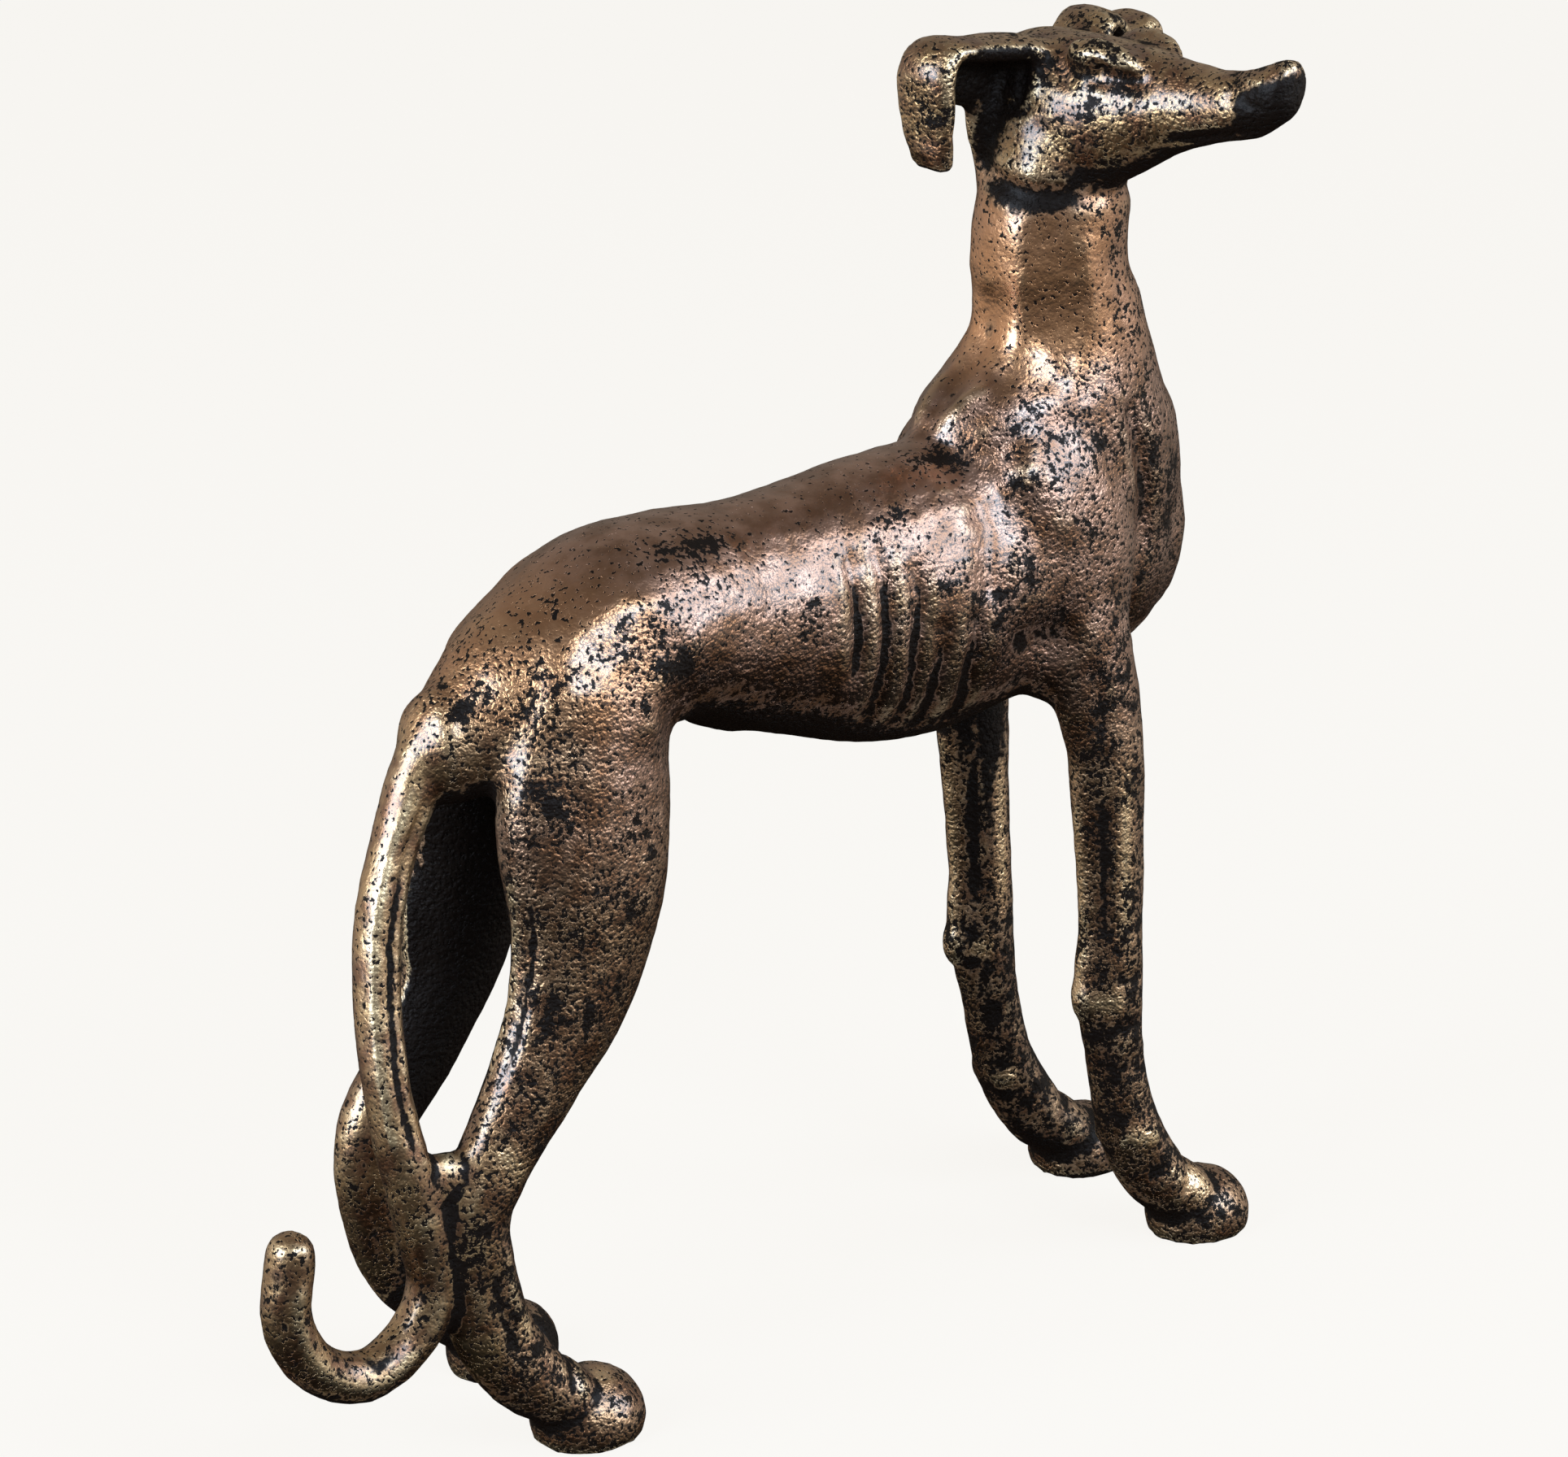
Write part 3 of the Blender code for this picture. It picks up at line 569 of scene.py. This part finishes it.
forward, _, above = (np.array(HEAD.inverted()) @ np.c_[places, np.ones(len(places))].T)[:3] / HUNDREDTH
facing_up = normals[:, 2]
head = rise(87, 90, z)
neck = rise(72, 76, z) * (1 - head)
throat = neck * np.maximum(rise(23, 27, x), rise(82, 88, z))
chest = rise(16, 22, x) * rise(50, 54, z) * rise(-76, -70, -z)
back = rise(0.45, 0.75, facing_up) * rise(58, 62, z) * (1 - head)
haunch_top = rise(17, 20, -x) * rise(55, 59, z) * rise(-67, -64, -z)
rump = rise(22, 28, -x) * rise(49, 53, z)
tail = rise(33, 36, -x)
legs = rise(-52, -42, -z)
shins = rise(-30, -24, -z) * rise(6, 9, z)
inner_legs = rise(0.1, 0.7, -np.sign(y) * normals[:, 1]) * rise(-48, -44, -z) * (1 - rise(33, 35, -x))
nose_pad = rise(16.8, 17.6, forward) * rise(-1.2, 0, 1.2 + 0.4 * (forward - 17) - above)

# How far the black goes altogether: hidden places and furrows get patina and painted shade, undersides and
# the insides of the legs painted shade, and the nose pad and the top of the skull are darker.
patina_and_shade = 1.2 * rise(0.22, 0.60, hidden) + 0.9 * rise(0.0002, 0.0007, -bulge)
# Painted shade on the undersides.
patina_and_shade += 1.2 * rise(0.25, 0.90, -facing_up)
# Painted shade on the inward-curving faces of the lower legs.
patina_and_shade += 0.9 * rise(0.00008, 0.0003, -crest) * rise(-50, -44, -z)
# Painted shade on the insides of the legs, more on the hind legs.
patina_and_shade += inner_legs * np.where(x < 0, 0.95, 0.5)
patina_and_shade += nose_pad
patina_and_shade += 0.4 * rise(0.6, 0.9, facing_up) * head * rise(-12, -8, -forward)
for path, width in CLEARED_ON_FACE:
    near, share = along(on_head(path), width, taper=0.1)
    patina_and_shade[near] *= 1 - 0.9 * share
# Painted shade and patina in the gaps between the ribs.
for gap in RIB_GAPS:
    near, share = along(on_body(gap[1:]), 2.8)
    patina_and_shade[near] += 0.62 * share

# How far it stayed as crowded pits and blotches, and how far the edges were made lighter, partly rubbed
# bright and partly painted highlight.
kept = 0.62 * legs + 0.55 * throat + 0.25 * shins + 0.4 * chest + 0.4 * rump + 0.35 * head - 0.4 * tail
kept = np.clip(kept, 0, 1)
# The SHADE paths add painted shade; the KEPT paths crowd the blotches.
for paths, on, values in (
    (SHADE_ON_BODY, on_body, patina_and_shade),
    (SHADE_ON_HEAD, on_head, patina_and_shade),
    (KEPT_ON_BODY, on_body, kept),
    (KEPT_ON_HEAD, on_head, kept),
):
    for path, width in paths:
        near, share = along(on(path), width, taper=0.35)
        values[near] = np.maximum(values[near], share)
# Painted highlight and rubbed metal along crests, more on the head, legs and tail.
ridge = rise(0.0001, 0.00045, crest) * np.clip(0.3 + 0.4 * head + legs + tail, 0, 1)
# Partly buffed metal, partly painted light: the lighter neck and haunch top.
buffed_and_lit = 0.9 * (neck - 0.6 * throat) + 0.5 * haunch_top
# The forelegs' paths crowd the blotches and add painted shade.
for path, width in KEPT_AND_SHADED_ON_FORELEGS:
    for side in both_sides(path):
        near, share = along(on_body(side), width)
        kept[near] = np.maximum(kept[near], share)
        patina_and_shade[near] = np.maximum(patina_and_shade[near], 0.6 * share)
# Painted highlight and rubbed metal along the leg edges and knobs, with the black lifted there.
for path, width in RUBBED_AND_HIGHLIT_ON_LEGS:
    for side in both_sides(path):
        near, share = along(on_body(side), width)
        buffed_and_lit[near] = np.maximum(buffed_and_lit[near], share)
        ridge[near] = np.maximum(ridge[near], share)
        patina_and_shade[near] *= 1 - share
        kept[near] *= 1 - share
shares = {
    "patina_and_shade": patina_and_shade,
    "ridge": ridge,
    "gold": head + tail + 0.7 * rump + 0.6 * legs,
    "coarse": 1 - 0.85 * back - 0.7 * neck - 0.6 * tail,
    "buffed_and_lit": buffed_and_lit,
    "kept": kept,
}
for name, values in shares.items():
    layer = hound.data.attributes.new(name, "FLOAT", "POINT")
    layer.data.foreach_set("value", np.clip(values, 0, 1).astype(np.float32))
hound.data.materials.clear()
hound.data.materials.append(bronze)
bpy.ops.object.shade_smooth()
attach(hound, "root")
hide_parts("greyhound")

# The studio. A plain pale paper floor, lit evenly to near white. A softbox stands on each side of the figure
# and one hangs over its front, with soft grey card round the rest, so that the undersides stay dark.
SOFTBOXES = (  # name, azimuth, elevation, distance, width, height and watts
    ("right_softbox", 42, 24, 2.2, 1.1, 1.2, 31),
    ("left_softbox", -88, 22, 2.2, 1.2, 1.3, 58),
    ("front_softbox", -2, 36, 2.3, 0.9, 0.7, 31),
)
CARDS = (  # azimuth, elevation, how tight it is, and brightness
    (60, -8, 0.50, 0.60),
    (-136, -8, 0.50, 0.60),
    (142, 30, 0.45, 0.22),
    (-30, -16, 0.80, 0.18),
)
COOL, WARM, PAPER, PAPER_GLOW = "#dcecff", "#fff2e2", "#3c3b3a", "#f8f6f2"
TARGET = Vector((0, 0.005, 0.225)) + MIDDLE
CAMERA_WAY = (-38, 19.5)  # azimuth and elevation of the photograph
CAMERA_DISTANCE = 1.8
PHOTO_LENS, PHOTO_WIDTH = 6280, 1928  # in the photograph's own pixels

bpy.ops.mesh.primitive_plane_add(size=60)
floor = bpy.context.object
floor.name = "floor"
paper = bpy.data.materials.new("pale_paper")
paper.use_nodes = True
sheet = paper.node_tree.nodes["Principled BSDF"]
sheet.inputs["Base Color"].default_value = hue(PAPER)
sheet.inputs["Roughness"].default_value = 0.9
sheet.inputs["Specular IOR Level"].default_value = 0.1
sheet.inputs["Emission Color"].default_value = hue(PAPER_GLOW)
sheet.inputs["Emission Strength"].default_value = 0.965
floor.data.materials.append(paper)
floor.visible_glossy = False


def towards(azimuth, elevation):
    """The direction from the figure to a place round it; azimuth 0 is on its right side."""
    a, e = math.radians(azimuth), math.radians(elevation)
    return Vector((math.sin(a) * math.cos(e), -math.cos(a) * math.cos(e), math.sin(e)))


sky = bpy.data.worlds.new("studio")
bpy.context.scene.world = sky
sky.use_nodes = True
room = sky.node_tree
around = add(room, "TexCoord").outputs["Generated"]
height = add(room, "SeparateXYZ", {"Vector": around}).outputs["Z"]
above_floor = add(room, "MapRange", {"Value": height, "From Min": -0.55, "From Max": -0.2}, **EASED)
light = add(room, "MapRange", {"Value": height, "From Max": 0.6, "To Min": 0.003, "To Max": 0.15}, **EASED)
for azimuth, elevation, tight, strength in CARDS:
    facing = add(room, "VectorMath", {0: around, 1: towards(azimuth, elevation)}, operation="DOT_PRODUCT")
    links = {"Value": facing, "From Min": tight, "From Max": 0.98, "To Max": strength}
    spot = add(room, "MapRange", links, **EASED)
    light = add(room, "Math", {0: spot, 1: above_floor, 2: light}, operation="MULTIPLY_ADD")
background = room.nodes["Background"]
background.inputs["Color"].default_value = hue(WARM)
room.links.new(light.outputs["Value"], background.inputs["Strength"])

for name, azimuth, elevation, distance, width, tall, watts in SOFTBOXES:
    box = bpy.data.lights.new(name, "AREA")
    box.shape = "RECTANGLE"
    box.color = hue(COOL)[:3]
    box.size = width
    box.size_y = tall
    box.energy = watts
    lamp = bpy.data.objects.new(name, box)
    bpy.context.scene.collection.objects.link(lamp)
    way = towards(azimuth, elevation)
    lamp.location = TARGET + way * distance
    lamp.rotation_euler = way.to_track_quat("Z", "Y").to_euler()

camera = bpy.data.objects.new("camera", bpy.data.cameras.new("camera"))
bpy.context.scene.collection.objects.link(camera)
bpy.context.scene.camera = camera
camera.data.sensor_width = 36
camera.data.lens = PHOTO_LENS * 36 / PHOTO_WIDTH
camera.location = TARGET + towards(*CAMERA_WAY) * CAMERA_DISTANCE
camera.rotation_euler = towards(*CAMERA_WAY).to_track_quat("Z", "Y").to_euler()
bpy.context.scene.view_settings.view_transform = "Standard"
